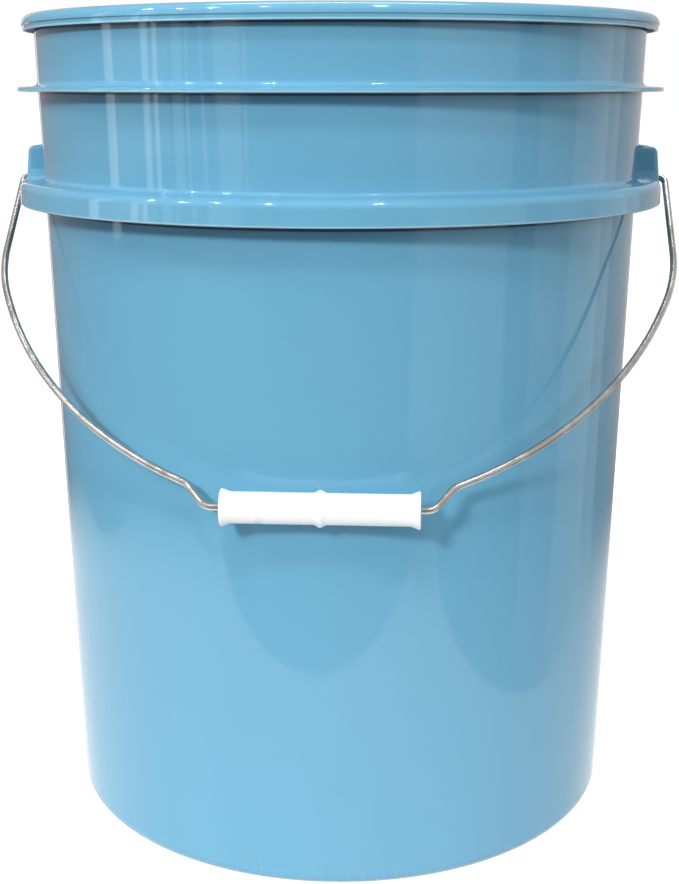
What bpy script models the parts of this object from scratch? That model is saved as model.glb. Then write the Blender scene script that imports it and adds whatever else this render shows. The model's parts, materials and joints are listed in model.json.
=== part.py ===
"""A plastic fermenting bucket: a moulded tub, a steel wire bail and a loose grip on the bail.

Frame: metres, +Z up, origin on the floor at the centre of the base.  The ears that
carry the bail lie on the X axis, and the bail hangs down the front wall (-Y).
"""

from math import asin, cos, degrees, pi, radians, sin, tan

import bmesh
import bpy
from mathutils import Matrix, Vector

MM = 0.001

# ---- tub ----
HEIGHT = 376.0 * MM
FOOT_RADIUS = 125.4 * MM         # outer edge of the flat ring that stands on the floor
FOOT_WIDTH = 5.6 * MM
BASE_RECESS = 3.0 * MM           # how far the base is raised inside the foot ring
BASE_CORNER = 5.5 * MM
WALL = 2.3 * MM
WALL_RADIUS_AT_FOOT = 130.6 * MM
FLOOR = 2.8 * MM                 # thickness of the base
SEGMENTS = 72

SKIRT_Z = 289.0 * MM             # lower edge of the wide downturned band
SKIRT_TOP = 300.2 * MM
SKIRT_RADIUS = 153.9 * MM
SKIRT_THICKNESS = 2.2 * MM
FLANGE_THICKNESS = 2.4 * MM      # of the skirt's top, between its lip and the wall
WALL_RADIUS_AT_SKIRT = 142.0 * MM

RIB_Z = 341.1 * MM               # underside of the thin reinforcing rib
RIB_RADIUS = 153.9 * MM
RIB_THICKNESS = 1.9 * MM

RIM_HEIGHT = 7.2 * MM
RIM_RADIUS = 151.0 * MM
RIM_DOME = 4.4 * MM
RIM_LIP_HEIGHT = 2.2 * MM        # of the lip under the dome, set in a little from it
RIM_LIP_SETBACK = 0.6 * MM
RIM_LIP_THICKNESS = 1.5 * MM
RIM_CHANNEL = 2.6 * MM           # depth of the open channel between the lip and the wall
WALL_RADIUS_AT_RIM = 145.3 * MM

GUSSETS = 16                     # places around the skirt, less the two taken by the ears
GUSSET_THICKNESS = 1.8 * MM
GUSSET_RISE = 1.5 * MM           # of a gusset's lower edge above the skirt's

# ---- ears ----
EAR_TOP = 316.0 * MM             # where the ear's top meets the wall
EAR_FALL = 1.4 * MM              # of the top from the wall to the outer face
EAR_HALF_WIDTH = 13.0 * MM       # at the top; it grows downwards by the mould's draft
EAR_FACE_AT_TOP = 152.0 * MM     # X of the flat outer face
EAR_FACE_AT_BOTTOM = 153.9 * MM
EAR_DRAFT = 0.6 * MM             # growth of the half width from top to bottom
EAR_EDGE = 2.4 * MM
EAR_PLATE = 2.4 * MM             # thickness of the outer plate and the top
EAR_SIDE = 2.0 * MM
EAR_ROOT = 1.1 * MM              # how far the ear is sunk into the tub's wall
BAIL_HOLE_RADIUS = 2.1 * MM

# ---- bail ----
PIVOT_Z = 300.0 * MM
WIRE_RADIUS = 1.6 * MM
HOOK_X = 147.6 * MM              # the hook that holds the wire inside the ear
HOOK_LENGTH = 7.5 * MM
LEG_X = 157.6 * MM
BAIL_REACH = 192.2 * MM          # from the pivot axis to the straight run in the grip

# ---- grip ----
GRIP_LENGTH = 83.0 * MM
GRIP_BODY_RADIUS = 6.5 * MM
GRIP_FLARE_RADIUS = 7.7 * MM
GRIP_FLARE_LENGTH = 4.0 * MM     # of the slope from each end down to the body
GRIP_RING_RADIUS = 7.6 * MM
GRIP_RING_HALF_WIDTH = 2.5 * MM
GRIP_BORE_RADIUS = 2.8 * MM
REST_GAP = 0.4 * MM              # between the resting grip and the wall

CUT_PAST = 4.0 * MM              # how far a cutter runs past what it cuts


def wall_radius(z):
    """Outer radius of the tapered wall at a height: one slope up to the skirt, one above it."""
    if z < SKIRT_Z:
        return WALL_RADIUS_AT_FOOT + (WALL_RADIUS_AT_SKIRT - WALL_RADIUS_AT_FOOT) * z / SKIRT_Z
    share = (z - SKIRT_Z) / (HEIGHT - RIM_HEIGHT - SKIRT_Z)
    return WALL_RADIUS_AT_SKIRT + (WALL_RADIUS_AT_RIM - WALL_RADIUS_AT_SKIRT) * share


def rest_lean():
    """Angle of the bail from straight down, with the grip's middle ring against the wall."""
    lean = 0.0
    for _ in range(20):
        contact_z = PIVOT_Z - BAIL_REACH * cos(lean)
        lean = asin((wall_radius(contact_z) + REST_GAP + GRIP_RING_RADIUS) / BAIL_REACH)
    return lean


def rounded(corners, degrees_per_step):
    """Points along a path of (a, b, radius) corners, with each corner turned into an arc."""
    path = [Vector(corners[0][:2])]
    for before, corner, after in zip(corners, corners[1:], corners[2:]):
        apex = Vector(corner[:2])
        back = (Vector(before[:2]) - apex).normalized()
        ahead = (Vector(after[:2]) - apex).normalized()
        radius = corner[2]
        if radius == 0.0:
            path.append(apex)
            continue
        half = back.angle(ahead) / 2.0
        centre = apex + (back + ahead).normalized() * radius / sin(half)
        start = apex + back * radius / tan(half) - centre
        turn = start.angle_signed(apex + ahead * radius / tan(half) - centre)
        steps = max(1, round(degrees(abs(turn)) / degrees_per_step))
        for step in range(steps + 1):
            path.append(centre + Matrix.Rotation(-turn * step / steps, 2) @ start)
    path.append(Vector(corners[-1][:2]))
    return path


def material(name, colour, roughness, metallic=0.0):
    slot = bpy.data.materials.new(name)
    slot.use_nodes = True
    shader = slot.node_tree.nodes["Principled BSDF"]
    shader.inputs["Base Color"].default_value = (*colour, 1.0)
    shader.inputs["Roughness"].default_value = roughness
    shader.inputs["Metallic"].default_value = metallic
    return slot


def add_object(name, mesh, slot=None):
    part = bpy.data.objects.new(name, mesh)
    bpy.context.collection.objects.link(part)
    if slot:
        mesh.materials.append(slot)
    return part


def mesh_from(bm, name, smooth=True):
    """A mesh with its faces pointing out, shaded smooth between the sharp edges."""
    bmesh.ops.recalc_face_normals(bm, faces=bm.faces)
    mesh = bpy.data.meshes.new(name)
    bm.to_mesh(mesh)
    bm.free()
    if smooth:
        mesh.shade_smooth()
        mesh.set_sharp_from_angle(angle=radians(35))
    return mesh


def turned(name, outline, axis, segments, closed=False):
    """Spin an outline of (distance from the axis, position along it) into a mesh."""
    bm = bmesh.new()
    across = Vector((1, 0, 0)) if axis.z else Vector((0, 0, 1))
    points = [bm.verts.new(across * radius + axis * along) for radius, along in outline]
    pairs = list(zip(points, points[1:]))
    if closed:
        pairs.append((points[-1], points[0]))
    edges = [bm.edges.new(pair) for pair in pairs]
    bmesh.ops.spin(bm, geom=points + edges, cent=(0, 0, 0), axis=axis, angle=2 * pi, steps=segments)
    bmesh.ops.remove_doubles(bm, verts=bm.verts, dist=0.00002)
    return mesh_from(bm, name)


def tapered_block(bm, x_inner, x_outer, z_range, half_width, edge=0.0, fall=0.0):
    """A block on the +X side; each pair gives a value at the bottom and at the top.

    With an edge radius, the block's outer upright edges and its top edges are rounded.
    The top drops by fall from its inner to its outer edge.
    """
    block = bmesh.ops.create_cube(bm, size=1.0)["verts"]
    for vert in block:
        level = int(vert.co.z > 0)
        x = (x_outer if vert.co.x > 0 else x_inner)[level]
        drop = fall if level and vert.co.x > 0 else 0.0
        side = 1 if vert.co.y > 0 else -1
        vert.co = (x, side * half_width[level], z_range[level] - drop)
    if edge:
        edges = {e for v in block for e in v.link_edges}
        middles = {e: (e.verts[0].co + e.verts[1].co) / 2 for e in edges}
        rounded_edges = [
            e for e, middle in middles.items()
            if middle.x > max(x_inner) + 1e-6 and middle.z > z_range[0] + 1e-6
        ]
        bmesh.ops.bevel(
            bm, geom=rounded_edges, offset=edge, segments=3, profile=0.5, affect="EDGES")


def both_sides(bm):
    """Repeat everything in the mesh half a turn around the tub."""
    copy = bmesh.ops.duplicate(bm, geom=bm.verts[:] + bm.edges[:] + bm.faces[:])["geom"]
    copied = [item for item in copy if isinstance(item, bmesh.types.BMVert)]
    bmesh.ops.rotate(bm, verts=copied, cent=(0, 0, 0), matrix=Matrix.Rotation(pi, 3, "Z"))


def tub_outline():
    """Radius and height along the tub's section, from under the base, up and back to its floor."""
    recess_radius = FOOT_RADIUS - FOOT_WIDTH - 1.5 * MM
    lip_inner = SKIRT_RADIUS - SKIRT_THICKNESS
    flange_under = SKIRT_TOP - FLANGE_THICKNESS
    rib_top = RIB_Z + RIB_THICKNESS
    rim_z = HEIGHT - RIM_HEIGHT
    channel_top = rim_z + RIM_CHANNEL
    lip_outer = RIM_RADIUS - RIM_LIP_SETBACK
    floor_z = BASE_RECESS + FLOOR
    top_wall = WALL_RADIUS_AT_RIM - WALL
    return rounded([
        (0.0, BASE_RECESS - 1.0 * MM, 0),                    # gate mark
        (3.0 * MM, BASE_RECESS - 1.0 * MM, 0),
        (3.4 * MM, BASE_RECESS, 0),
        (recess_radius, BASE_RECESS, 0),
        (recess_radius + 1.5 * MM, 0.0, 0),
        (wall_radius(0.0), 0.0, BASE_CORNER),
        (wall_radius(flange_under), flange_under, 0),
        (lip_inner, flange_under, 1.2 * MM),
        (lip_inner, SKIRT_Z, 0),
        (SKIRT_RADIUS, SKIRT_Z, 0),
        (SKIRT_RADIUS, SKIRT_TOP - 0.3 * MM, 3.8 * MM),
        (wall_radius(SKIRT_TOP), SKIRT_TOP + 0.6 * MM, 1.8 * MM),
        (wall_radius(RIB_Z), RIB_Z, 0),
        (RIB_RADIUS - 0.4 * MM, RIB_Z, 0),
        (RIB_RADIUS, RIB_Z + 0.9 * MM, 0),
        (RIB_RADIUS - 0.8 * MM, rib_top, 0),
        (wall_radius(rib_top), rib_top + 0.5 * MM, 2.6 * MM),
        (wall_radius(rim_z), channel_top, 0.6 * MM),
        (lip_outer - RIM_LIP_THICKNESS, channel_top, 0.6 * MM),
        (lip_outer - RIM_LIP_THICKNESS, rim_z, 0),
        (lip_outer, rim_z, 0.3 * MM),
        (lip_outer, rim_z + RIM_LIP_HEIGHT, 0),
        (RIM_RADIUS, rim_z + RIM_LIP_HEIGHT + 0.4 * MM, 0),
        (RIM_RADIUS, HEIGHT, RIM_DOME),
        (top_wall, HEIGHT, 1.4 * MM),
        (wall_radius(SKIRT_Z) - WALL, SKIRT_Z, 0),
        (wall_radius(floor_z) - WALL, floor_z, 8.0 * MM),
        (0.0, floor_z, 0),
    ], 30)


def make_ears():
    """The two hollow bosses that carry the bail, and the gussets under the skirt."""
    bm = bmesh.new()
    tapered_block(
        bm,
        x_inner=(wall_radius(SKIRT_Z) - EAR_ROOT, wall_radius(EAR_TOP) - EAR_ROOT),
        x_outer=(EAR_FACE_AT_BOTTOM, EAR_FACE_AT_TOP),
        z_range=(SKIRT_Z - 0.3 * MM, EAR_TOP),
        half_width=(EAR_HALF_WIDTH + EAR_DRAFT, EAR_HALF_WIDTH),
        edge=EAR_EDGE,
        fall=EAR_FALL,
    )
    both_sides(bm)
    root = wall_radius(SKIRT_Z) - 0.5 * MM
    tip = SKIRT_RADIUS - SKIRT_THICKNESS / 2
    low = SKIRT_Z + GUSSET_RISE
    high = SKIRT_TOP - FLANGE_THICKNESS / 2
    for index in range(GUSSETS):
        if index % (GUSSETS // 2) == 0:
            continue
        gusset = bmesh.ops.create_cube(bm, size=1.0)["verts"]
        bmesh.ops.scale(bm, verts=gusset, vec=(tip - root, GUSSET_THICKNESS, high - low))
        bmesh.ops.translate(bm, verts=gusset, vec=((tip + root) / 2, 0, (high + low) / 2))
        turn = Matrix.Rotation(2 * pi * index / GUSSETS, 3, "Z")
        bmesh.ops.rotate(bm, verts=gusset, cent=(0, 0, 0), matrix=turn)
    return add_object("ears_and_gussets", mesh_from(bm, "ears_and_gussets", smooth=False))


def make_skirt_gaps():
    """Cutters that clear the curved skirt where the flat ears replace it."""
    bm = bmesh.new()
    inner = wall_radius(SKIRT_TOP) + 2.0 * MM
    side = EAR_HALF_WIDTH - 0.6 * MM
    tapered_block(
        bm,
        x_inner=(inner, inner),
        x_outer=(SKIRT_RADIUS + CUT_PAST, SKIRT_RADIUS + CUT_PAST),
        z_range=(SKIRT_Z - CUT_PAST, SKIRT_TOP + CUT_PAST),
        half_width=(side, side),
    )
    both_sides(bm)
    return add_object("skirt_gaps", mesh_from(bm, "skirt_gaps", smooth=False))


def make_ear_hollows():
    """Cutters for the space in each ear, open at the bottom, where the hook turns."""
    bm = bmesh.new()
    tapered_block(
        bm,
        x_inner=(wall_radius(SKIRT_Z) + 0.3 * MM, wall_radius(EAR_TOP) + 0.3 * MM),
        x_outer=(EAR_FACE_AT_BOTTOM - EAR_PLATE, EAR_FACE_AT_TOP - EAR_PLATE),
        z_range=(SKIRT_Z - CUT_PAST, EAR_TOP - EAR_PLATE),
        half_width=(EAR_HALF_WIDTH + EAR_DRAFT - EAR_SIDE, EAR_HALF_WIDTH - EAR_SIDE),
        fall=EAR_FALL,
    )
    both_sides(bm)
    return add_object("ear_hollows", mesh_from(bm, "ear_hollows", smooth=False))


def make_bail_holes():
    """Cutters for the round holes in the ears' outer plates."""
    bm = bmesh.new()
    placed = Matrix.Translation((EAR_FACE_AT_TOP, 0, PIVOT_Z)) @ Matrix.Rotation(pi / 2, 4, "Y")
    bmesh.ops.create_cone(
        bm, cap_ends=True, segments=24, radius1=BAIL_HOLE_RADIUS, radius2=BAIL_HOLE_RADIUS,
        depth=4 * EAR_PLATE, matrix=placed)
    both_sides(bm)
    return add_object("bail_holes", mesh_from(bm, "bail_holes", smooth=False))


def combine(body, tool, operation):
    tool.hide_render = True
    tool.display_type = "WIRE"
    step = body.modifiers.new(tool.name, "BOOLEAN")
    step.operation = operation
    step.solver = "EXACT"
    step.object = tool


def make_bucket():
    plastic = material("blue_plastic", (0.15, 0.43, 0.63), 0.16)
    mesh = turned("bucket_shell", tub_outline(), Vector((0, 0, 1)), SEGMENTS)
    bucket = add_object("bucket_shell", mesh, plastic)
    combine(bucket, make_skirt_gaps(), "DIFFERENCE")
    combine(bucket, make_ears(), "UNION")
    combine(bucket, make_ear_hollows(), "DIFFERENCE")
    combine(bucket, make_bail_holes(), "DIFFERENCE")
    return bucket


def bail_path():
    """The wire's centre line in the bail's own plane, from hook to hook, as (across, down)."""
    side = [
        (HOOK_X, HOOK_LENGTH, 0),
        (HOOK_X, 0.0, 3.0 * MM),
        (LEG_X, 0.0, 4.0 * MM),
        (156.1 * MM, 66.0 * MM, 85.0 * MM),      # the leg eases into the bow
        (121.3 * MM, 149.6 * MM, 182.0 * MM),    # the bow
        (55.1 * MM, 181.0 * MM, 8.0 * MM),       # the shoulder that stops the grip
        (46.5 * MM, BAIL_REACH, 6.0 * MM),
    ]
    mirrored = [(-across, down, radius) for across, down, radius in reversed(side)]
    return rounded(side + mirrored, 9)


def make_bail():
    steel = material("zinc_steel", (0.62, 0.61, 0.58), 0.28, 1.0)
    curve = bpy.data.curves.new("bail_wire", "CURVE")
    curve.dimensions = "3D"
    curve.bevel_depth = WIRE_RADIUS
    curve.bevel_resolution = 4
    curve.use_fill_caps = True
    path = bail_path()
    spline = curve.splines.new("POLY")
    spline.points.add(len(path) - 1)
    for point, (across, down) in zip(spline.points, path):
        point.co = (across, 0.0, -down, 1.0)
    curve.materials.append(steel)
    bail = bpy.data.objects.new("bail_wire", curve)
    bpy.context.collection.objects.link(bail)
    bail.location = (0, 0, PIVOT_Z)
    bail.rotation_euler = (-rest_lean(), 0, 0)
    return bail


def grip_outline():
    """Half of the grip's section from the middle to one end, mirrored into a closed loop."""
    end = GRIP_LENGTH / 2
    half = [
        (GRIP_RING_RADIUS, 0.5 * MM, 0.4 * MM),              # a ridge round the middle
        (GRIP_BODY_RADIUS, GRIP_RING_HALF_WIDTH, 1.0 * MM),
        (GRIP_BODY_RADIUS, end - GRIP_FLARE_LENGTH, 3.5 * MM),
        (GRIP_FLARE_RADIUS, end - 0.9 * MM, 0.6 * MM),
        (GRIP_FLARE_RADIUS, end, 0.5 * MM),
        (GRIP_BORE_RADIUS + 0.7 * MM, end, 0.4 * MM),
        (GRIP_BORE_RADIUS, end - 0.9 * MM, 0),
    ]
    lower = [(radius, -along, bend) for radius, along, bend in reversed(half)]
    return rounded([*lower, *half], 30)


def make_grip(bail):
    white = material("white_plastic", (0.80, 0.82, 0.83), 0.3)
    mesh = turned("bail_grip", grip_outline(), Vector((1, 0, 0)), 32, closed=True)
    grip = add_object("bail_grip", mesh, white)
    grip.parent = bail
    grip.location = (0, 0, -BAIL_REACH)
    return grip


def main():
    for old in list(bpy.data.objects):
        bpy.data.objects.remove(old, do_unlink=True)
    make_bucket()
    bail = make_bail()
    make_grip(bail)


main()
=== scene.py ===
"""Looks of the fermenting bucket: fine tub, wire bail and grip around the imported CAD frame.

Everything is in metres in the row frame: +Z up, ears on the X axis, bail hanging on the -Y side.
"""

import json
from math import atan2, cos, degrees, pi, radians, sin, tan

import bmesh
import bpy
from mathutils import Matrix, Vector


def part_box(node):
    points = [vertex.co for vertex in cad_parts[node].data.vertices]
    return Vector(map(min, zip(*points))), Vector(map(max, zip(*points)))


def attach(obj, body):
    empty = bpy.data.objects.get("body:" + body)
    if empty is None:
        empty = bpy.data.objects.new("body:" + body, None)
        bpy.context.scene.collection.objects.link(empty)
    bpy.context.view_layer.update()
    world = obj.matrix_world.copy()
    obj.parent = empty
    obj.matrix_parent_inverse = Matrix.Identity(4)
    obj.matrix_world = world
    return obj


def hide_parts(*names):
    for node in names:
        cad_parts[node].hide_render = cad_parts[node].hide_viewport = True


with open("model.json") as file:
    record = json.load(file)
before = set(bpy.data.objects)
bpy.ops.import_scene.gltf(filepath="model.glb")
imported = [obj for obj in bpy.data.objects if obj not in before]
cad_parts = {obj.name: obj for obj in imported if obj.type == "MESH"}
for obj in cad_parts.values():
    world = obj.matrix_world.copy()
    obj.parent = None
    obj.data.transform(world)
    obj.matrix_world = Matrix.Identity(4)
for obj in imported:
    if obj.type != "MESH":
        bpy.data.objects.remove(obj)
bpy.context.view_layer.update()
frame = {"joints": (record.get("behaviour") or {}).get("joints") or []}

MM = 0.001

# ---- driving dimensions, from the frame ----
tub_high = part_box("bucket_shell")[1]
joints = {joint["name"]: joint for joint in frame["joints"]}
pivot = Vector(joints["bail_swing"]["pos_m"])
grip_centre = Vector(joints["grip_spin"]["pos_m"])
grip_low, grip_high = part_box("bail_grip")
bail_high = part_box("bail_wire")[1]

HEIGHT = tub_high.z
SKIRT_RADIUS = tub_high.y
BAIL_REACH = (grip_centre - pivot).length
LEAN = atan2(-grip_centre.y, pivot.z - grip_centre.z)      # of the bail from straight down
GRIP_LENGTH = grip_high.x - grip_low.x
WIRE_RADIUS = 1.6 * MM
LEG_X = bail_high.x - WIRE_RADIUS

# ---- tub ----
FOOT_RADIUS = 125.4 * MM
FOOT_WIDTH = 5.6 * MM
BASE_RECESS = 3.0 * MM
FLOOR = 2.8 * MM
WALL = 2.3 * MM
WALL_RADIUS_AT_FOOT = 130.6 * MM
SKIRT_Z = HEIGHT - 87.0 * MM
SKIRT_TOP = SKIRT_Z + 11.2 * MM
SKIRT_THICKNESS = 2.2 * MM
FLANGE_THICKNESS = 2.4 * MM
WALL_RADIUS_AT_SKIRT = 142.0 * MM
RIB_Z = HEIGHT - 34.9 * MM
RIB_RADIUS = SKIRT_RADIUS
RIB_THICKNESS = 1.9 * MM
RIM_HEIGHT = 7.2 * MM
RIM_RADIUS = 151.0 * MM
RIM_DOME = 4.4 * MM
RIM_LIP_HEIGHT = 2.2 * MM
RIM_LIP_SETBACK = 0.6 * MM
RIM_LIP_THICKNESS = 1.5 * MM
RIM_CHANNEL = 2.6 * MM
WALL_RADIUS_AT_RIM = 145.3 * MM
GUSSETS = 16
GUSSET_THICKNESS = 1.8 * MM
GUSSET_RISE = 1.5 * MM
TUB_SEGMENTS = 288
ARC_STEP = 9                     # degrees of arc per step along a section
SHARP_ANGLE = 35                 # degrees between faces above which an edge stays sharp
TUB_SHARP_ANGLE = 32
WIRE_SHARP_ANGLE = 50
WELD_DISTANCE = 0.000005         # closes the seam of a turned shape

# ---- ears ----
EAR_TOP = pivot.z + 16.0 * MM
EAR_FALL = 1.4 * MM
EAR_HALF_WIDTH = 13.0 * MM
EAR_FACE_AT_TOP = 152.0 * MM
EAR_FACE_AT_BOTTOM = SKIRT_RADIUS
EAR_DRAFT = 0.6 * MM
EAR_EDGE = 2.4 * MM
EAR_PLATE = 2.4 * MM
EAR_SIDE = 2.0 * MM
EAR_ROOT = 1.1 * MM
EAR_FOOT_ROOT = 1.3 * MM
EAR_FOOT_SETBACK = (1.6 * MM, 2.0 * MM)      # from the ear's face, at the foot's bottom and top
EAR_FOOT_DEPTH = 1.6 * MM                    # into the skirt's top
EAR_FOOT_RISE = 3.4 * MM
EAR_FOOT_SPREAD = (3.0 * MM, 0.4 * MM)       # past the ear's sides, at the bottom and top
BAIL_HOLE_RADIUS = 2.1 * MM

# ---- bail ----
HOOK_X = 147.6 * MM
HOOK_LENGTH = 7.5 * MM
WIRE_END_ROUND = 0.35 * MM
WIRE_ARC_STEP = 2.5              # degrees of bend per step along the wire

# ---- grip ----
GRIP_BODY_RADIUS = 6.5 * MM
GRIP_FLARE_RADIUS = 7.7 * MM
GRIP_FLARE_LENGTH = 4.0 * MM
GRIP_RING_RADIUS = 7.6 * MM
GRIP_RING_HALF_WIDTH = 2.5 * MM
GRIP_BORE_RADIUS = 2.8 * MM
GRIP_SEGMENTS = 96
GRIP_SHIFT = 0.75 * MM           # the grip has slid a little along the wire, towards +X


# ---------------------------------------------------------------- shapes

def wall_radius(z):
    """Outer radius of the tapered wall at a height: one slope up to the skirt, one above it."""
    if z < SKIRT_Z:
        return WALL_RADIUS_AT_FOOT + (WALL_RADIUS_AT_SKIRT - WALL_RADIUS_AT_FOOT) * z / SKIRT_Z
    share = (z - SKIRT_Z) / (HEIGHT - RIM_HEIGHT - SKIRT_Z)
    return WALL_RADIUS_AT_SKIRT + (WALL_RADIUS_AT_RIM - WALL_RADIUS_AT_SKIRT) * share


def rounded(corners, degrees_per_step=ARC_STEP):
    """Points along a path of (a, b, radius) corners, with each corner turned into an arc."""
    path = [Vector(corners[0][:2])]
    for before, corner, after in zip(corners, corners[1:], corners[2:]):
        apex = Vector(corner[:2])
        back = (Vector(before[:2]) - apex).normalized()
        ahead = (Vector(after[:2]) - apex).normalized()
        radius = corner[2]
        if radius == 0.0:
            path.append(apex)
            continue
        half = back.angle(ahead) / 2.0
        centre = apex + (back + ahead).normalized() * radius / sin(half)
        start = apex + back * radius / tan(half) - centre
        turn = start.angle_signed(apex + ahead * radius / tan(half) - centre)
        steps = max(1, round(degrees(abs(turn)) / degrees_per_step))
        for step in range(steps + 1):
            path.append(centre + Matrix.Rotation(-turn * step / steps, 2) @ start)
    path.append(Vector(corners[-1][:2]))
    return path


def add_object(name, mesh):
    piece = bpy.data.objects.new(name, mesh)
    bpy.context.scene.collection.objects.link(piece)
    return piece


def mesh_from(bm, name, sharp=SHARP_ANGLE):
    """A mesh with its faces pointing out, shaded smooth between the sharp edges."""
    bmesh.ops.recalc_face_normals(bm, faces=bm.faces)
    mesh = bpy.data.meshes.new(name)
    bm.to_mesh(mesh)
    bm.free()
    mesh.shade_smooth()
    mesh.set_sharp_from_angle(angle=radians(sharp))
    return mesh


def turned(name, outline, axis, segments, closed=False):
    """Spin an outline of (distance from the axis, position along it) into a mesh."""
    bm = bmesh.new()
    across = Vector((1, 0, 0)) if axis.z else Vector((0, 0, 1))
    points = [bm.verts.new(across * radius + axis * along) for radius, along in outline]
    pairs = list(zip(points, points[1:]))
    if closed:
        pairs.append((points[-1], points[0]))
    edges = [bm.edges.new(pair) for pair in pairs]
    bmesh.ops.spin(bm, geom=points + edges, cent=(0, 0, 0), axis=axis, angle=2 * pi, steps=segments)
    bmesh.ops.remove_doubles(bm, verts=bm.verts, dist=WELD_DISTANCE)
    return mesh_from(bm, name)


def apply_modifiers(piece):
    """Replace a piece's mesh by what its modifiers make of it, and drop them."""
    bpy.context.view_layer.update()
    evaluated = piece.evaluated_get(bpy.context.evaluated_depsgraph_get())
    mesh = bpy.data.meshes.new_from_object(evaluated)
    piece.modifiers.clear()
    piece.data = mesh
    mesh.name = piece.name


# ---------------------------------------------------------------- tub

def tub_outline():
    """The tub's section, from under the base, up the outside and back down to its floor.

    Each corner is its distance from the axis, its height and the radius that rounds it.
    """
    recess_radius = FOOT_RADIUS - FOOT_WIDTH - 1.5 * MM
    lip_inner = SKIRT_RADIUS - SKIRT_THICKNESS
    flange_under = SKIRT_TOP - FLANGE_THICKNESS
    rib_top = RIB_Z + RIB_THICKNESS
    rim_z = HEIGHT - RIM_HEIGHT
    channel_top = rim_z + RIM_CHANNEL
    lip_outer = RIM_RADIUS - RIM_LIP_SETBACK
    floor_z = BASE_RECESS + FLOOR
    top_wall = WALL_RADIUS_AT_RIM - WALL
    return rounded([
        (0.0, BASE_RECESS - 1.0 * MM, 0),                    # gate mark
        (3.0 * MM, BASE_RECESS - 1.0 * MM, 0.4 * MM),
        (3.4 * MM, BASE_RECESS, 0.3 * MM),
        (recess_radius, BASE_RECESS, 1.2 * MM),
        (recess_radius + 1.5 * MM, 0.0, 0.8 * MM),
        (wall_radius(0.0), 0.0, 5.5 * MM),
        (wall_radius(flange_under), flange_under, 1.0 * MM),
        (lip_inner, flange_under, 1.2 * MM),
        (lip_inner, SKIRT_Z, 0.7 * MM),
        (SKIRT_RADIUS, SKIRT_Z, 0.8 * MM),
        (SKIRT_RADIUS, SKIRT_TOP - 0.3 * MM, 3.8 * MM),
        (wall_radius(SKIRT_TOP), SKIRT_TOP + 0.6 * MM, 1.8 * MM),
        (wall_radius(RIB_Z), RIB_Z, 0.7 * MM),
        (RIB_RADIUS, RIB_Z, 0.7 * MM),
        (RIB_RADIUS - 0.3 * MM, rib_top, 0.7 * MM),
        (wall_radius(rib_top), rib_top + 0.5 * MM, 2.6 * MM),
        (wall_radius(rim_z), channel_top, 0.8 * MM),
        (lip_outer - RIM_LIP_THICKNESS, channel_top, 0.8 * MM),
        (lip_outer - RIM_LIP_THICKNESS, rim_z, 0.3 * MM),
        (lip_outer, rim_z, 0.5 * MM),
        (lip_outer, rim_z + RIM_LIP_HEIGHT, 0.2 * MM),
        (RIM_RADIUS, rim_z + RIM_LIP_HEIGHT + 0.4 * MM, 0.25 * MM),
        (RIM_RADIUS, HEIGHT, RIM_DOME),
        (top_wall, HEIGHT, 1.4 * MM),
        (wall_radius(SKIRT_Z) - WALL, SKIRT_Z, 0),
        (wall_radius(floor_z) - WALL, floor_z, 8.0 * MM),
        (0.0, floor_z, 0),
    ])


def tapered_block(bm, x_inner, x_outer, z_range, half_width, edge=0.0, fall=0.0):
    """A block on the +X side; each pair gives a value at the bottom and at the top.

    With an edge radius, the block's outer upright edges and its top edges are rounded.
    The top drops by fall from its inner to its outer edge.
    """
    block = bmesh.ops.create_cube(bm, size=1.0)["verts"]
    for vert in block:
        level = int(vert.co.z > 0)
        x = (x_outer if vert.co.x > 0 else x_inner)[level]
        drop = fall if level and vert.co.x > 0 else 0.0
        side = 1 if vert.co.y > 0 else -1
        vert.co = (x, side * half_width[level], z_range[level] - drop)
    if edge:
        edges = {e for v in block for e in v.link_edges}
        middles = {e: (e.verts[0].co + e.verts[1].co) / 2 for e in edges}
        rounded_edges = [
            e for e, middle in middles.items()
            if middle.x > max(x_inner) + 1e-6 and middle.z > z_range[0] + 1e-6
        ]
        bmesh.ops.bevel(
            bm, geom=rounded_edges, offset=edge, segments=8, profile=0.5, affect="EDGES")


def both_sides(bm):
    """Repeat everything in the mesh half a turn around the tub."""
    copy = bmesh.ops.duplicate(bm, geom=bm.verts[:] + bm.edges[:] + bm.faces[:])["geom"]
    copied = [item for item in copy if isinstance(item, bmesh.types.BMVert)]
    bmesh.ops.rotate(bm, verts=copied, cent=(0, 0, 0), matrix=Matrix.Rotation(pi, 3, "Z"))


def make_ears():
    """The two hollow bosses that carry the bail, and the gussets under the skirt."""
    bm = bmesh.new()
    tapered_block(
        bm,
        x_inner=(wall_radius(SKIRT_Z) - EAR_ROOT, wall_radius(EAR_TOP) - EAR_ROOT),
        x_outer=(EAR_FACE_AT_BOTTOM, EAR_FACE_AT_TOP),
        z_range=(SKIRT_Z - 0.3 * MM, EAR_TOP),
        half_width=(EAR_HALF_WIDTH + EAR_DRAFT, EAR_HALF_WIDTH),
        edge=EAR_EDGE,
        fall=EAR_FALL,
    )
    both_sides(bm)
    root = wall_radius(SKIRT_Z) - 0.5 * MM
    tip = SKIRT_RADIUS - SKIRT_THICKNESS / 2
    low = SKIRT_Z + GUSSET_RISE
    high = SKIRT_TOP - FLANGE_THICKNESS / 2
    for index in range(GUSSETS):
        if index % (GUSSETS // 2) == 0:
            continue
        gusset = bmesh.ops.create_cube(bm, size=1.0)["verts"]
        bmesh.ops.scale(bm, verts=gusset, vec=(tip - root, GUSSET_THICKNESS, high - low))
        bmesh.ops.translate(bm, verts=gusset, vec=((tip + root) / 2, 0, (high + low) / 2))
        turn = Matrix.Rotation(2 * pi * index / GUSSETS, 3, "Z")
        bmesh.ops.rotate(bm, verts=gusset, cent=(0, 0, 0), matrix=turn)
    return cutter("ears_and_gussets", bm)


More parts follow.
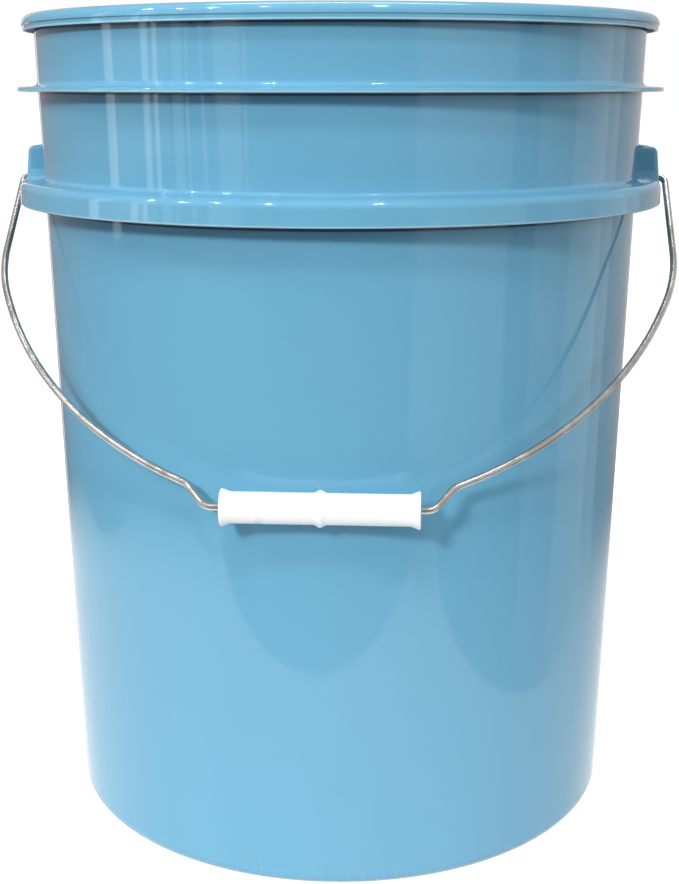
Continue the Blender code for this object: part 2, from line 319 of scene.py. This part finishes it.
def make_ear_feet():
    """The sloped feet that join the ears' sides to the skirt's top."""
    bm = bmesh.new()
    inner = wall_radius(SKIRT_Z) - EAR_FOOT_ROOT
    tapered_block(
        bm,
        x_inner=(inner, inner),
        x_outer=[EAR_FACE_AT_BOTTOM - setback for setback in EAR_FOOT_SETBACK],
        z_range=(SKIRT_TOP - EAR_FOOT_DEPTH, SKIRT_TOP + EAR_FOOT_RISE),
        half_width=[EAR_HALF_WIDTH + spread for spread in EAR_FOOT_SPREAD],
    )
    both_sides(bm)
    return cutter("ear_feet", bm)


def make_skirt_gaps():
    """Cutters that clear the curved skirt where the flat ears replace it."""
    bm = bmesh.new()
    past = 4.0 * MM
    inner = wall_radius(SKIRT_TOP) + 2.0 * MM
    side = EAR_HALF_WIDTH - 0.6 * MM
    tapered_block(
        bm,
        x_inner=(inner, inner),
        x_outer=(SKIRT_RADIUS + past, SKIRT_RADIUS + past),
        z_range=(SKIRT_Z - past, SKIRT_TOP + past),
        half_width=(side, side),
    )
    both_sides(bm)
    return cutter("skirt_gaps", bm)


def make_ear_hollows():
    """Cutters for the space in each ear, open at the bottom, where the hook turns."""
    bm = bmesh.new()
    tapered_block(
        bm,
        x_inner=(wall_radius(SKIRT_Z) + 0.3 * MM, wall_radius(EAR_TOP) + 0.3 * MM),
        x_outer=(EAR_FACE_AT_BOTTOM - EAR_PLATE, EAR_FACE_AT_TOP - EAR_PLATE),
        z_range=(SKIRT_Z - 4.0 * MM, EAR_TOP - EAR_PLATE),
        half_width=(EAR_HALF_WIDTH + EAR_DRAFT - EAR_SIDE, EAR_HALF_WIDTH - EAR_SIDE),
        fall=EAR_FALL,
    )
    both_sides(bm)
    return cutter("ear_hollows", bm)


def make_bail_holes():
    """Cutters for the round holes in the ears' outer plates."""
    bm = bmesh.new()
    placed = Matrix.Translation((EAR_FACE_AT_TOP, 0, pivot.z)) @ Matrix.Rotation(pi / 2, 4, "Y")
    bmesh.ops.create_cone(
        bm, cap_ends=True, segments=48, radius1=BAIL_HOLE_RADIUS, radius2=BAIL_HOLE_RADIUS,
        depth=4 * EAR_PLATE, matrix=placed)
    both_sides(bm)
    return cutter("bail_holes", bm)


def cutter(name, bm):
    """An object for a boolean, which make_tub removes again."""
    bmesh.ops.recalc_face_normals(bm, faces=bm.faces)
    mesh = bpy.data.meshes.new(name)
    bm.to_mesh(mesh)
    bm.free()
    return add_object(name, mesh)


def combine(body, tool, operation):
    """Add a boolean with the tool to the body's modifiers."""
    step = body.modifiers.new(tool.name, "BOOLEAN")
    step.operation = operation
    step.solver = "EXACT"
    step.object = tool
    return tool


def make_tub():
    tub = add_object("tub", turned("tub", tub_outline(), Vector((0, 0, 1)), TUB_SEGMENTS))
    tools = [
        combine(tub, make_skirt_gaps(), "DIFFERENCE"),
        combine(tub, make_ears(), "UNION"),
        combine(tub, make_ear_feet(), "UNION"),
        combine(tub, make_ear_hollows(), "DIFFERENCE"),
        combine(tub, make_bail_holes(), "DIFFERENCE"),
    ]
    apply_modifiers(tub)
    for tool in tools:
        bpy.data.objects.remove(tool, do_unlink=True)
    tub.data.shade_smooth()
    tub.data.set_sharp_from_angle(angle=radians(TUB_SHARP_ANGLE))
    weighted = tub.modifiers.new("weighted_normals", "WEIGHTED_NORMAL")
    weighted.keep_sharp = True
    apply_modifiers(tub)
    return tub


# ---------------------------------------------------------------- bail and grip

def bail_path():
    """The wire's centre line in the bail's own plane, from hook to hook, as (across, down)."""
    side = [
        (HOOK_X, HOOK_LENGTH, 0),
        (HOOK_X, 0.0, 3.0 * MM),
        (LEG_X, 0.0, 4.0 * MM),
        (156.1 * MM, 66.0 * MM, 85.0 * MM),      # the leg eases into the bow
        (121.3 * MM, 149.6 * MM, 182.0 * MM),    # the bow
        (55.1 * MM, 181.0 * MM, 8.0 * MM),       # the shoulder that stops the grip
        (46.5 * MM, BAIL_REACH, 6.0 * MM),
    ]
    mirrored = [(-across, down, radius) for across, down, radius in reversed(side)]
    return rounded(side + mirrored, WIRE_ARC_STEP)


def swept_wire(name, path, radius, around=24):
    """A round wire along a path in the XZ plane, with a UV map: turns around, metres along."""
    bm = bmesh.new()
    uv = bm.loops.layers.uv.new("along")
    rings = []
    lengths = [0.0]
    for before, point in zip(path, path[1:]):
        lengths.append(lengths[-1] + (point - before).length)
    for index, point in enumerate(path):
        ahead = path[min(index + 1, len(path) - 1)] - path[max(index - 1, 0)]
        ahead = Vector((ahead.x, 0.0, ahead.y)).normalized()
        side = ahead.cross(Vector((0, 1, 0)))
        middle = Vector((point.x, 0.0, point.y))
        size = radius - WIRE_END_ROUND if index in (0, len(path) - 1) else radius
        rings.append([
            bm.verts.new(middle + (side * cos(turn) + Vector((0, 1, 0)) * sin(turn)) * size)
            for turn in (2 * pi * step / around for step in range(around))
        ])
    for index, (ring, after) in enumerate(zip(rings, rings[1:])):
        for step in range(around):
            ahead = (step + 1) % around
            face = bm.faces.new((ring[step], ring[ahead], after[ahead], after[step]))
            corners = ((step, index), (step + 1, index), (step + 1, index + 1), (step, index + 1))
            for loop, (turn, place) in zip(face.loops, corners):
                loop[uv].uv = (turn / around, lengths[place])
    bm.faces.new(rings[0])
    bm.faces.new(rings[-1])
    return mesh_from(bm, name, WIRE_SHARP_ANGLE)


def make_bail():
    """The bent wire, with its two cut ends slightly rounded."""
    path = [Vector((across, -down)) for across, down in bail_path()]
    first = path[0] + (path[0] - path[1]).normalized() * WIRE_END_ROUND
    last = path[-1] + (path[-1] - path[-2]).normalized() * WIRE_END_ROUND
    bail = add_object("wire_bail", swept_wire("wire_bail", [first, *path, last], WIRE_RADIUS))
    bail.data.transform(Matrix.Translation(pivot) @ Matrix.Rotation(-LEAN, 4, "X"))
    return bail


def grip_outline():
    """Half of the grip's section from the middle to one end, mirrored into a closed loop."""
    end = GRIP_LENGTH / 2 - GRIP_SHIFT
    half = [
        (GRIP_RING_RADIUS, 0.5 * MM, 0.4 * MM),
        (GRIP_BODY_RADIUS, GRIP_RING_HALF_WIDTH, 1.0 * MM),
        (GRIP_BODY_RADIUS, end - GRIP_FLARE_LENGTH, 3.5 * MM),
        (GRIP_FLARE_RADIUS, end - 0.9 * MM, 0.6 * MM),
        (GRIP_FLARE_RADIUS, end, 0.5 * MM),
        (GRIP_BORE_RADIUS + 0.7 * MM, end, 0.4 * MM),
        (GRIP_BORE_RADIUS, end - 0.9 * MM, 0),
    ]
    lower = [(radius, -along, bend) for radius, along, bend in reversed(half)]
    return rounded([*lower, *half])


def make_grip():
    outline = grip_outline()
    mesh = turned("grip", outline, Vector((1, 0, 0)), GRIP_SEGMENTS, closed=True)
    grip = add_object("grip", mesh)
    grip.data.transform(Matrix.Translation(grip_centre + Vector((GRIP_SHIFT, 0, 0))))
    return grip


# ---------------------------------------------------------------- materials

BLUE_A = (0.133, 0.377, 0.547)
BLUE_B = (0.141, 0.393, 0.568)
BLUE_CLOUD = (0.149, 0.390, 0.554)
BLUE_SCUFFED = (0.30, 0.52, 0.66)
# painted highlight colour for the lower edges of the rim, rib and skirt
PAINTED_HIGHLIGHT_BLUE = (0.50, 0.78, 0.90)
# painted shade colour for the wall just under the rim, rib and skirt
PAINTED_SHADE_DARK = (0.012, 0.03, 0.05)
STEEL_DULL = (0.44, 0.42, 0.39)
STEEL_BRIGHT = (0.58, 0.57, 0.55)
STEEL_LINES = (0.34, 0.32, 0.30)
WHITE = (0.95, 0.95, 0.95)
WHITE_HANDLED = (0.88, 0.875, 0.865)
UNDERSIDES = [
    # height, radius of the lip, how far the painted shade line on the wall is moved up from it
    (HEIGHT - RIM_HEIGHT, RIM_RADIUS, 0.3 * MM),
    (RIB_Z, RIB_RADIUS, 0.0),
    (SKIRT_Z, SKIRT_RADIUS, -1.2 * MM),
]


class Nodes:
    """A small helper that adds and joins shader nodes."""

    def __init__(self, name):
        self.material = bpy.data.materials.new(name)
        self.material.use_nodes = True
        self.tree = self.material.node_tree
        self.shader = self.tree.nodes["Principled BSDF"]

    def add(self, kind, settings=None, **inputs):
        node = self.tree.nodes.new(kind)
        for key, value in (settings or {}).items():
            setattr(node, key, value)
        for key, value in inputs.items():
            self.put(node.inputs[key.replace("_", " ")], value)
        return node

    def put(self, socket, value):
        if isinstance(value, bpy.types.NodeSocket):
            self.tree.links.new(value, socket)
        else:
            socket.default_value = value

    def place(self, scale=(1, 1, 1)):
        """The point on the object, in metres in its own frame, stretched by scale."""
        coords = self.add("ShaderNodeTexCoord").outputs["Object"]
        return self.add("ShaderNodeMapping", Vector=coords, Scale=scale).outputs["Vector"]

    def noise(self, where, scale, detail=3.0, roughness=0.5):
        node = self.add(
            "ShaderNodeTexNoise", Vector=where, Scale=scale, Detail=detail, Roughness=roughness)
        return node.outputs["Fac"]

    def span(self, value, low, high, to_low, to_high):
        """value from low..high mapped to to_low..to_high, smoothly and clamped."""
        node = self.add("ShaderNodeMapRange", {"interpolation_type": "SMOOTHSTEP"})
        self.put(node.inputs["Value"], value)
        for name, number in zip(("From Min", "From Max", "To Min", "To Max"),
                                (low, high, to_low, to_high)):
            node.inputs[name].default_value = number
        return node.outputs["Result"]

    def math(self, operation, a, b):
        node = self.add("ShaderNodeMath", {"operation": operation})
        self.put(node.inputs[0], a)
        self.put(node.inputs[1], b)
        return node.outputs[0]

    def mix(self, share, a, b):
        node = self.add("ShaderNodeMix", {"data_type": "RGBA"})
        self.put(node.inputs[0], share)
        self.put(node.inputs[6], a if isinstance(a, bpy.types.NodeSocket) else (*a, 1.0))
        self.put(node.inputs[7], b if isinstance(b, bpy.types.NodeSocket) else (*b, 1.0))
        return node.outputs[2]

    def bump(self, height, distance, after=None):
        node = self.add("ShaderNodeBump", Height=height, Distance=distance, Strength=1.0)
        if after is not None:
            self.put(node.inputs["Normal"], after)
        return node.outputs["Normal"]


def blue_plastic():
    """Glossy moulded plastic: faint flow marks, orange peel, scuffs near the foot.

    Under the rim, rib and skirt the lip's lower edge carries a painted pale highlight, and a
    painted shade line runs on the wall under it.
    """
    n = Nodes("blue_plastic")
    here = n.place()
    upright = n.place((1, 1, 0.12))
    height = n.add("ShaderNodeSeparateXYZ", Vector=here).outputs["Z"]
    flow = n.noise(upright, 22, 4)
    cloud = n.noise(here, 9, 3)
    colour = n.mix(n.span(flow, 0.3, 0.7, 0, 1), BLUE_A, BLUE_B)
    colour = n.mix(n.span(cloud, 0.3, 0.7, 0, 0.5), colour, BLUE_CLOUD)
    scratch = n.noise(n.place((1, 1, 0.05)), 620, 2)
    low_down = n.span(height, 0.0, 0.012, 1, 0)
    scuff = n.math("MULTIPLY", n.span(scratch, 0.55, 0.70, 0, 0.35), low_down)
    colour = n.mix(scuff, colour, BLUE_SCUFFED)
    across = n.add("ShaderNodeVectorMath", {"operation": "LENGTH"}, Vector=n.place((1, 1, 0)))
    across = across.outputs["Value"]
    # Painted highlight: a pale band along the lower outer edge of each lip.
    for under, lip, _ in UNDERSIDES:
        painted_edge_highlight = n.math("MULTIPLY", n.span(height, under + 0.5 * MM, under + 1.1 * MM, 0.6, 0),
                      n.span(height, under - 0.6 * MM, under - 0.3 * MM, 0, 1))
        painted_edge_highlight = n.math("MULTIPLY", painted_edge_highlight, n.span(across, lip - 1.6 * MM, lip - 1.2 * MM, 0, 1))
        colour = n.mix(painted_edge_highlight, colour, PAINTED_HIGHLIGHT_BLUE)
    # Painted shade: a dark band on the wall just under each lip, where the overhang shades it.
    for under, _, offset in UNDERSIDES:
        start = under + offset
        wall = wall_radius(under)
        line = n.math("MULTIPLY", n.span(height, start - 1.5 * MM, start - 0.9 * MM, 0, 0.85),
                      n.span(height, start + 0.3 * MM, start + 0.8 * MM, 1, 0))
        line = n.math("MULTIPLY", line, n.span(across, wall - 1.2 * MM, wall - 0.8 * MM, 0, 1))
        line = n.math("MULTIPLY", line, n.span(across, wall + 1.8 * MM, wall + 2.2 * MM, 1, 0))
        colour = n.mix(line, colour, PAINTED_SHADE_DARK)
    n.put(n.shader.inputs["Base Color"], colour)
    smear = n.noise(here, 14, 5, 0.6)
    rough = n.span(smear, 0.35, 0.7, 0.045, 0.08)
    rough = n.math("ADD", rough, n.math("MULTIPLY", scuff, 0.3))
    n.put(n.shader.inputs["Roughness"], rough)
    sag = n.bump(n.noise(n.place((1, 1, 0.35)), 18, 1), 0.0006)
    peel = n.bump(n.noise(here, 900, 2), 0.000006, sag)
    n.put(n.shader.inputs["Normal"], peel)
    n.shader.inputs["IOR"].default_value = 1.5
    return n.material


def zinc_steel():
    """Bright zinc-plated drawn wire: fine lines along it and a slightly cloudy plating."""
    n = Nodes("zinc_steel")
    along = n.add("ShaderNodeUVMap", {"uv_map": "along"}).outputs["UV"]
    lines = n.noise(n.add("ShaderNodeMapping", Vector=along, Scale=(26, 30, 1)).outputs[0], 1, 3)
    cloud = n.noise(n.place(), 130, 4, 0.6)
    colour = n.mix(n.span(cloud, 0.35, 0.65, 0, 1), STEEL_DULL, STEEL_BRIGHT)
    colour = n.mix(n.span(lines, 0.45, 0.75, 0, 0.5), colour, STEEL_LINES)
    n.put(n.shader.inputs["Base Color"], colour)
    n.shader.inputs["Metallic"].default_value = 0.85
    n.put(n.shader.inputs["Roughness"], n.span(cloud, 0.3, 0.7, 0.14, 0.28))
    n.put(n.shader.inputs["Normal"], n.bump(lines, 0.00003))
    return n.material


def white_plastic():
    """White moulded plastic, satin, with fine grain and a little handling dirt."""
    n = Nodes("white_plastic")
    here = n.place()
    dirt = n.noise(here, 60, 5, 0.65)
    colour = n.mix(n.span(dirt, 0.5, 0.8, 0, 0.15), WHITE, WHITE_HANDLED)
    n.put(n.shader.inputs["Base Color"], colour)
    n.put(n.shader.inputs["Roughness"], n.span(dirt, 0.3, 0.7, 0.26, 0.38))
    n.put(n.shader.inputs["Normal"], n.bump(n.noise(here, 1500, 2), 0.00001))
    n.shader.inputs["Subsurface Weight"].default_value = 0.25
    n.shader.inputs["Subsurface Radius"].default_value = (1.0, 0.9, 0.8)
    n.shader.inputs["Subsurface Scale"].default_value = 0.002
    return n.material


# ---------------------------------------------------------------- studio

FLOOR_RADIUS = 20.0
FLOOR_GREY = 0.30
FLOOR_GLOW = 0.95
SHINE_RADIUS = 0.60
SHINE_FADE_START = 0.34          # distance from its centre where the shiny disc begins to fade
SHINE_CENTRE = (-0.04, 0.0)
SHINE_SLOPE = (-0.35, -1.0, 0)   # its glow per metre: brighter to the left and the front
SHINE_GLOW = 1.20
DARK_PATCHES = [                 # x, y and radius, from the shiny disc's centre
    (-0.03, -0.74, 0.42),
    (0.58, -0.20, 0.31),
    (-0.66, 0.05, 0.22),
]
PATCH_EDGE = 0.004               # half the width of a patch's soft edge
PATCH_SHARE = 0.3                # how much of the disc is left inside a patch
BOUNCE_RADIUS = 0.42
BOUNCE_GREY = 0.85
ROOM_COLOUR = (0.30, 0.29, 0.285)
WALLS = [
    # toward, inner and outer degrees, colour
    ((0, 0, 1), 25, 80, (0.62, 0.62, 0.64)),          # ceiling
    ((-0.75, 1, 0), 40, 46, (0.40, 0.34, 0.33)),      # behind, left: pale and warm
    ((0.57, 0.82, 0), 15, 45, (0.66, 0.61, 0.59)),    # behind, right
    ((0.1, -1, 0), 18, 45, (0.20, 0.19, 0.19)),       # the dark side behind the camera
    ((0, 0, -1), 60, 88, (0.05, 0.05, 0.05)),         # below: little comes up past the floor
]
SHADING_DISTANCE = 2.0
SHADING_LIGHTS = [
    # name, azimuth, elevation, side, radiance
    ("key", 22, 28, 0.24, 118),
    ("top", 4, 54, 0.28, 36),
    ("side", 76, 40, 0.40, 17),
    ("fill", -42, 18, 0.8, 3.3),
    ("back", 172, 32, 1.0, 3.2),
]
PANEL_DISTANCE = 2.2
REFLECTED_PANELS = [
    # name, azimuth, elevation, width and height, radiance
    ("window_a", 86, 12, (0.18, 1.44), 1.8),
    ("window_b", 68, 12, (0.12, 1.44), 2.0),
    ("window_c", 63.4, 12, (0.08, 1.44), 2.0),
    ("blind_a", 54, 12, (0.16, 1.44), 0.9),
    ("blind_b", 50, 12, (0.03, 1.44), 1.4),
    ("blind_c", 44, 12, (0.03, 1.44), 1.4),
    ("blind_d", 35, 12, (0.34, 1.44), 0.8),
    ("blind_e", 29, 12, (0.03, 1.44), 1.2),
    ("left_post", 152, 0, (0.10, 2.4), 1.0),
    ("ceiling", 180, 80, (1.6, 0.35), 10),
    ("right_wall", -98, 0, (1.6, 2.4), 0.35),
    ("right_wall_far", -112, 0, (1.2, 2.4), 0.35),
    ("left_front", 72, 12, (1.3, 1.44), 0.45),
    ("right_front", -48, 8, (1.5, 2.2), 0.45),
    ("lamp_a", -22, 60, (0.10, 0.08), 170),
    ("lamp_b", 31, 56, (0.10, 0.08), 170),
    ("lamp_c", 49, 50, (0.10, 0.08), 130),
    ("lamp_d", 62, 46, (0.10, 0.08), 130),
    ("lamp_e", 78, 44, (0.10, 0.08), 130),
]
FARTHER_PANELS = {"left_front": 2.5}          # it stands behind the window's panels
CAMERA_AZIMUTH = 3.5                          # degrees to the right of straight in front
CAMERA_DISTANCE = 0.706                       # from the tub's axis
CAMERA_HEIGHT = 0.3441
CAMERA_TILT = 81.0                            # degrees up from straight down
CAMERA_LENS = 58.32
CAMERA_SENSOR = 36.0
CAMERA_SHIFT = (-0.001, -0.1474)


def make_floor():
    """A pale floor for the camera.

    Under it and unseen, one disc gives reflections and another one bounced light.
    """
    floor, n = disc("floor", FLOOR_RADIUS, FLOOR_GREY)
    n.shader.inputs["Emission Strength"].default_value = FLOOR_GLOW
    floor.visible_glossy = False
    floor.visible_diffuse = False
    shine, n = disc("floor_shine", SHINE_RADIUS, 0.0)
    slope = n.add("ShaderNodeVectorMath", {"operation": "DOT_PRODUCT"}, Vector=n.place())
    slope.inputs[1].default_value = SHINE_SLOPE
    lit = n.span(distance_from(n, (0, 0, 0)), SHINE_FADE_START, SHINE_RADIUS, 1, 0)
    for x, y, radius in DARK_PATCHES:
        gap = distance_from(n, (x, y, 0))
        patch = n.span(gap, radius - PATCH_EDGE, radius + PATCH_EDGE, PATCH_SHARE, 1)
        lit = n.math("MULTIPLY", lit, patch)
    n.put(n.shader.inputs["Alpha"], lit)
    n.put(n.shader.inputs["Emission Strength"],
          n.math("ADD", slope.outputs["Value"], SHINE_GLOW))
    shine.location = (*SHINE_CENTRE, -0.5 * MM)
    shine.visible_camera = False
    shine.visible_diffuse = False
    bounce = disc("floor_bounce", BOUNCE_RADIUS, BOUNCE_GREY)[0]
    bounce.location.z = -1.0 * MM
    bounce.visible_camera = False
    bounce.visible_glossy = False
    for piece in (floor, shine, bounce):
        piece.visible_shadow = False


def distance_from(n, point):
    """How far a point on the object is from a fixed point in its own frame."""
    apart = n.add("ShaderNodeVectorMath", {"operation": "DISTANCE"}, Vector=n.place())
    apart.inputs[1].default_value = point
    return apart.outputs["Value"]


def disc(name, radius, grey):
    """A flat round stage piece with a white glow of its own, and its material's nodes."""
    bm = bmesh.new()
    bmesh.ops.create_circle(bm, cap_ends=True, segments=128, radius=radius)
    mesh = bpy.data.meshes.new(name)
    bm.to_mesh(mesh)
    bm.free()
    piece = add_object(name, mesh)
    n = Nodes(name)
    n.shader.inputs["Base Color"].default_value = (grey, grey, grey, 1)
    n.shader.inputs["Roughness"].default_value = 0.8
    n.shader.inputs["Specular IOR Level"].default_value = 0.2
    n.shader.inputs["Emission Color"].default_value = (1, 1, 1, 1)
    mesh.materials.append(n.material)
    return piece, n


def make_world():
    """White all round for the camera; for the rest, soft walls of different brightness."""
    world = bpy.data.worlds.new("studio")
    bpy.context.scene.world = world
    world.use_nodes = True
    tree = world.node_tree
    tree.nodes.clear()
    add, link = tree.nodes.new, tree.links.new
    direction = add("ShaderNodeTexCoord").outputs["Generated"]

    def lobe(toward, inner, outer):
        """1 within inner degrees of a direction, falling to 0 at outer degrees."""
        dot = add("ShaderNodeVectorMath")
        dot.operation = "DOT_PRODUCT"
        link(direction, dot.inputs[0])
        dot.inputs[1].default_value = Vector(toward).normalized()
        ramp = add("ShaderNodeMapRange")
        ramp.interpolation_type = "SMOOTHSTEP"
        link(dot.outputs["Value"], ramp.inputs["Value"])
        ramp.inputs["From Min"].default_value = cos(radians(outer))
        ramp.inputs["From Max"].default_value = cos(radians(inner))
        return ramp.outputs["Result"]

    room = add("ShaderNodeRGB").outputs[0]
    room.default_value = (*ROOM_COLOUR, 1)
    for toward, inner, outer, colour in WALLS:
        mix = add("ShaderNodeMix")
        mix.data_type = "RGBA"
        link(lobe(toward, inner, outer), mix.inputs[0])
        link(room, mix.inputs[6])
        mix.inputs[7].default_value = (*colour, 1)
        room = mix.outputs[2]
    lit = add("ShaderNodeBackground")
    link(room, lit.inputs["Color"])
    seen = add("ShaderNodeBackground")
    seen.inputs["Color"].default_value = (1, 1, 1, 1)
    rays = add("ShaderNodeLightPath")
    both = add("ShaderNodeMixShader")
    link(rays.outputs["Is Camera Ray"], both.inputs[0])
    link(lit.outputs[0], both.inputs[1])
    link(seen.outputs[0], both.inputs[2])
    link(both.outputs[0], add("ShaderNodeOutputWorld").inputs["Surface"])


def area_light(name, azimuth, elevation, distance, size, radiance):
    """A soft panel aimed at the bucket; azimuth is degrees to the left of straight in front."""
    data = bpy.data.lights.new(name, "AREA")
    data.shape = "RECTANGLE"
    data.size, data.size_y = size
    data.energy = radiance * pi * size[0] * size[1]
    light = bpy.data.objects.new(name, data)
    bpy.context.scene.collection.objects.link(light)
    turn, rise = radians(azimuth), radians(elevation)
    away = Vector((-sin(turn) * cos(rise), -cos(turn) * cos(rise), sin(rise)))
    light.location = Vector((0, 0, HEIGHT / 2)) + away * distance
    light.rotation_euler = away.to_track_quat("Z", "Y").to_euler()
    light.visible_camera = False
    return light


def make_lights():
    """Lights that only shade the bucket, and panels that only show in its reflections."""
    for name, azimuth, elevation, side, radiance in SHADING_LIGHTS:
        light = area_light(name, azimuth, elevation, SHADING_DISTANCE, (side, side), radiance)
        light.visible_glossy = False
    for name, azimuth, elevation, size, radiance in REFLECTED_PANELS:
        distance = FARTHER_PANELS.get(name, PANEL_DISTANCE)
        panel = area_light(name, azimuth, elevation, distance, size, radiance)
        panel.visible_diffuse = False


def make_camera():
    """A camera at the photograph's viewing angle."""
    data = bpy.data.cameras.new("camera")
    data.lens = CAMERA_LENS
    data.sensor_width = CAMERA_SENSOR
    data.shift_x, data.shift_y = CAMERA_SHIFT
    camera = bpy.data.objects.new("camera", data)
    bpy.context.scene.collection.objects.link(camera)
    azimuth = radians(CAMERA_AZIMUTH)
    camera.location = (
        CAMERA_DISTANCE * sin(azimuth), -CAMERA_DISTANCE * cos(azimuth), CAMERA_HEIGHT)
    camera.rotation_euler = (radians(CAMERA_TILT), 0, azimuth)
    bpy.context.scene.camera = camera


# ---------------------------------------------------------------- build

def place_piece(piece, material, body, node):
    """Give a piece its material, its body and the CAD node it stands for."""
    piece.data.materials.clear()
    piece.data.materials.append(material)
    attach(piece, body)
    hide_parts(node)


place_piece(make_tub(), blue_plastic(), "bucket", "bucket_shell")
place_piece(make_bail(), zinc_steel(), "bail", "bail_wire")
place_piece(make_grip(), white_plastic(), "grip", "bail_grip")
make_floor()
make_world()
make_lights()
make_camera()
bpy.context.scene.view_settings.view_transform = "Standard"
